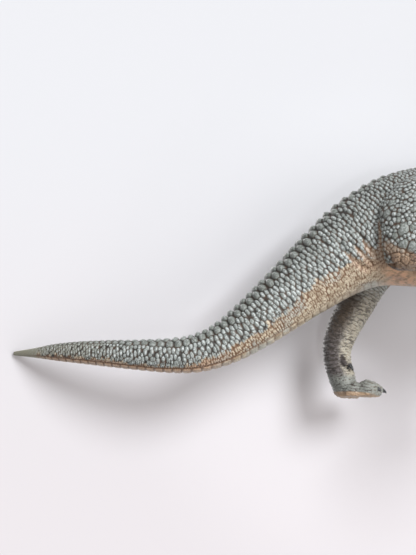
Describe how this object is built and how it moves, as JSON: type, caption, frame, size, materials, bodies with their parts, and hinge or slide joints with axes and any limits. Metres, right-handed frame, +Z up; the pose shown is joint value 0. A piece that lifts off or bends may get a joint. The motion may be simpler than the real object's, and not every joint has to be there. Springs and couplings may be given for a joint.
{
  "type": "toy dinosaur figure",
  "caption": "Hollow plastic toy dinosaur walking on two legs, with scaly grey-green skin, a long curved tail, a jaw that opens on a pin and arms that swivel.",
  "frame": {"origin": "on the ground under the middle of the standing figure, centre of its bounding box's underside", "axes": "+X from tail to snout, +Y to the figure's left, +Z up"},
  "size_m": [0.2882, 0.0582, 0.1192],
  "materials": {
    "hide": "semi-gloss painted vinyl",
    "throat_hide": "semi-gloss painted vinyl",
    "ivory": "semi-gloss",
    "tongue": "gloss",
    "amber": "high gloss",
    "steel": "plain drawn wire"
  },
  "bodies": {
    "trunk": {"trunk_left_shell": "hide", "trunk_right_shell": "hide", "tail": "hide", "left_leg": "hide", "right_leg": "hide", "head": "hide", "upper_teeth": "ivory", "left_eye": "amber", "right_eye": "amber", "jaw_pin": "steel"},
    "jaw": {"lower_jaw": "throat_hide", "lower_teeth": "ivory", "tongue": "tongue"},
    "left_arm": {"left_arm": "hide"},
    "right_arm": {"right_arm": "hide"}
  },
  "joints": [
    {"name": "jaw_hinge", "type": "hinge", "parent": "trunk", "child": "jaw", "pos_m": [0.09832, 0, 0.09772], "axis": [0, 1, 0], "range_deg": [-13, 10]},
    {"name": "left_shoulder", "type": "hinge", "parent": "trunk", "child": "left_arm", "pos_m": [0.06584, 0.016, 0.05605], "axis": [0, 1, 0], "range_deg": [-75, 20]},
    {"name": "right_shoulder", "type": "hinge", "parent": "trunk", "child": "right_arm", "pos_m": [0.06584, -0.016, 0.05605], "axis": [0, 1, 0], "range_deg": [-75, 20]}
  ]
}
